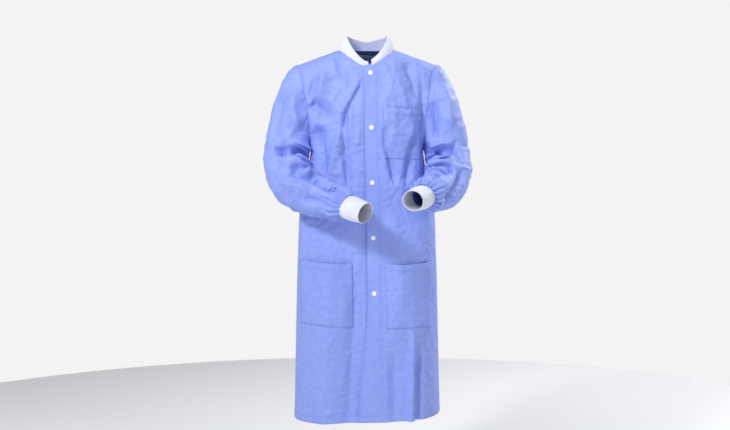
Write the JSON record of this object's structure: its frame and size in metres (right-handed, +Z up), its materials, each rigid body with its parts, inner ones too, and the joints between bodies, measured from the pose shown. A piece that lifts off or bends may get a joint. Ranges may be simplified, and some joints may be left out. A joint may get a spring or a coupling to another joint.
{
  "type": "lab coat",
  "caption": "Knee-length nonwoven lab coat in its worn shape, with bent sleeves, knit collar and cuffs, a snap front and patch pockets.",
  "frame": {"origin": "middle of the neck opening, level with the tops of the shoulder seams, on the line where a hanger or a wearer's neck carries the coat", "axes": "+Z up along the wearer's back, the front faces -Y, +X towards the wearer's left arm"},
  "size_m": [0.579, 0.4492, 1.0891],
  "materials": {
    "nonwoven_cloth": "matt spunbond nonwoven, periwinkle blue",
    "rib_knit": "soft white rib knit",
    "snap_plastic": "moulded white plastic, satin"
  },
  "bodies": {
    "root": {"back_panel": "nonwoven_cloth", "left_front_panel": "nonwoven_cloth", "right_front_panel": "nonwoven_cloth", "right_placket": "nonwoven_cloth", "collar": "rib_knit", "chest_pocket": "nonwoven_cloth", "left_lower_pocket": "nonwoven_cloth", "right_lower_pocket": "nonwoven_cloth", "left_sleeve_upper": "nonwoven_cloth", "left_sleeve_elbow": "nonwoven_cloth", "right_sleeve_upper": "nonwoven_cloth", "right_sleeve_elbow": "nonwoven_cloth", "snap_stud_1": "snap_plastic", "snap_back_1": "snap_plastic", "snap_stud_2": "snap_plastic", "snap_back_2": "snap_plastic", "snap_stud_3": "snap_plastic", "snap_back_3": "snap_plastic", "snap_stud_4": "snap_plastic", "snap_back_4": "snap_plastic", "snap_stud_5": "snap_plastic", "snap_back_5": "snap_plastic"},
    "front_flap": {"left_placket": "nonwoven_cloth", "snap_cap_1": "snap_plastic", "snap_socket_1": "snap_plastic", "snap_cap_2": "snap_plastic", "snap_socket_2": "snap_plastic", "snap_cap_3": "snap_plastic", "snap_socket_3": "snap_plastic", "snap_cap_4": "snap_plastic", "snap_socket_4": "snap_plastic", "snap_cap_5": "snap_plastic", "snap_socket_5": "snap_plastic"},
    "left_forearm": {"left_sleeve_lower": "nonwoven_cloth", "left_cuff": "rib_knit"},
    "right_forearm": {"right_sleeve_lower": "nonwoven_cloth", "right_cuff": "rib_knit"}
  },
  "joints": [
    {"name": "front_opening", "type": "hinge", "parent": "root", "child": "front_flap", "pos_m": [0.027, -0.1127, -0.0518], "axis": [-0.017, 0.0547, 0.9984], "range_deg": [0, 110]},
    {"name": "left_elbow", "type": "hinge", "parent": "root", "child": "left_forearm", "pos_m": [0.226, -0.078, -0.354], "axis": [-0.7684, 0.4911, -0.4103], "range_deg": [-55, 20], "deforming": ["left_sleeve_elbow"]},
    {"name": "right_elbow", "type": "hinge", "parent": "root", "child": "right_forearm", "pos_m": [-0.217, -0.074, -0.351], "axis": [-0.5137, -0.7514, 0.4142], "range_deg": [-60, 12], "deforming": ["right_sleeve_elbow"]}
  ]
}
